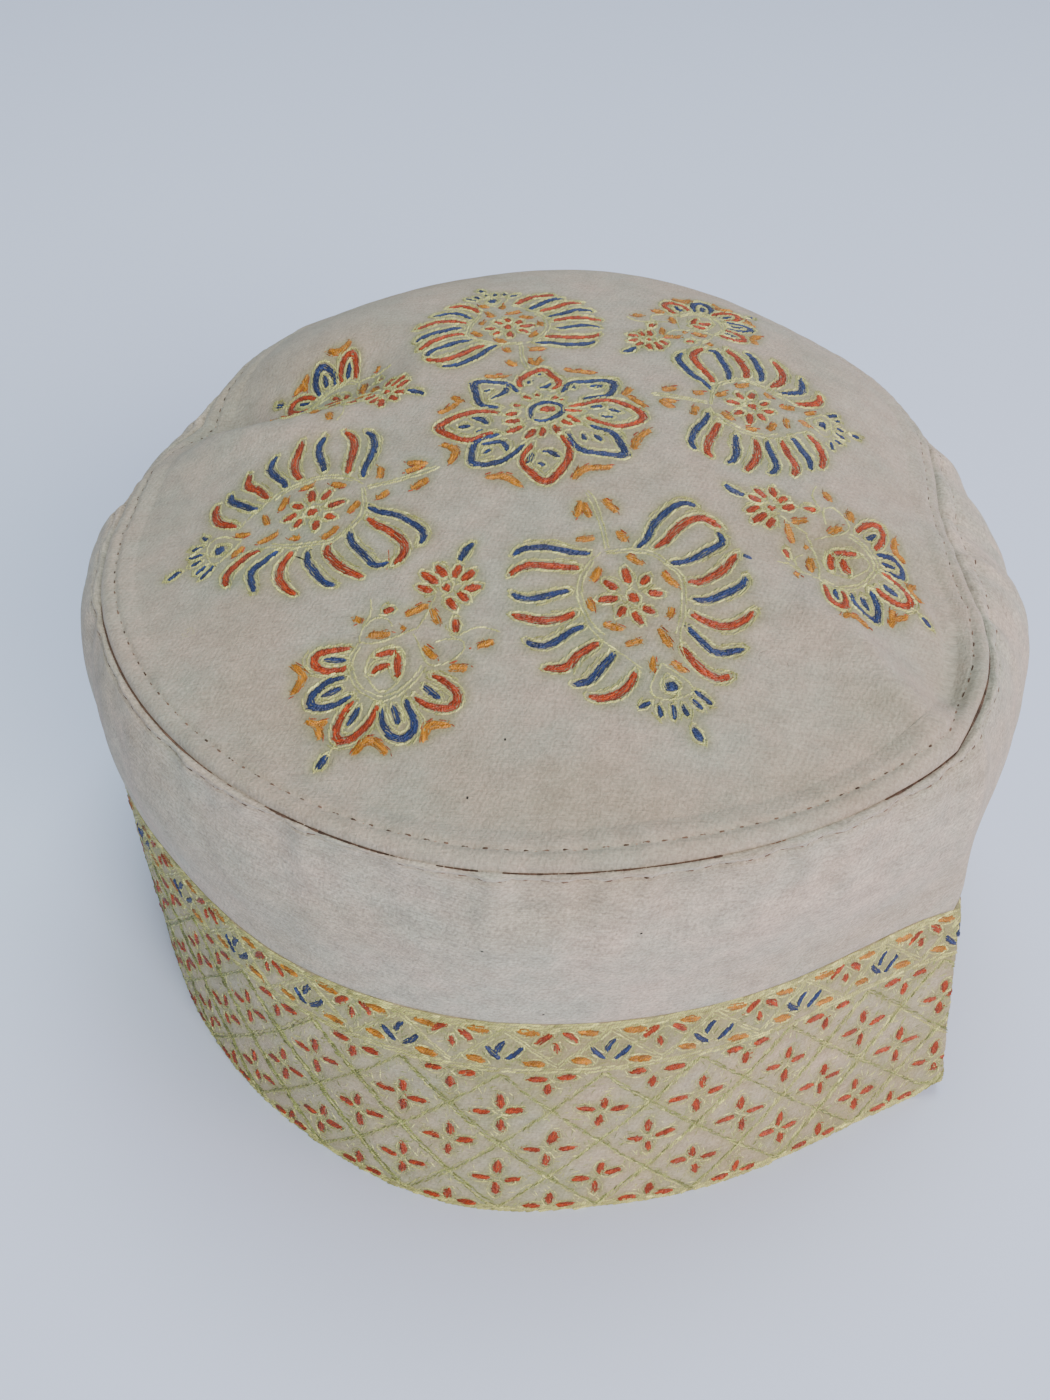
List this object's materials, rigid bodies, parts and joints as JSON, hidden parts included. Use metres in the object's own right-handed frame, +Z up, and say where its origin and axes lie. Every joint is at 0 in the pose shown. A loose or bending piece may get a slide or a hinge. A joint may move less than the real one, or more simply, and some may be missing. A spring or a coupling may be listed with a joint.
{
  "type": "embroidered woollen skullcap",
  "caption": "Soft round cap of cream woollen twill with a domed crown, a flaring side wall and a stiff band, embroidered with floral motifs and a lattice.",
  "frame": {"origin": "on the surface the cap rests on, under the middle of its outline", "axes": "+Z up through the crown, -Y toward the front that the picture shows, +X to the right seen from the front"},
  "size_m": [0.1902, 0.1898, 0.1192],
  "materials": {
    "crown_twill": "soft cream-grey wool twill",
    "wall_twill": "soft cream-grey wool twill",
    "band_twill": "cream wool twill tinted by fine pale green filling stitches",
    "embroidery_thread": "glossy twisted embroidery thread in brick red, blue, orange and pale green",
    "seam_thread": "dull brown sewing thread"
  },
  "bodies": {
    "root": {"crown": "crown_twill", "side_wall": "wall_twill", "band": "band_twill"}
  },
  "joints": []
}
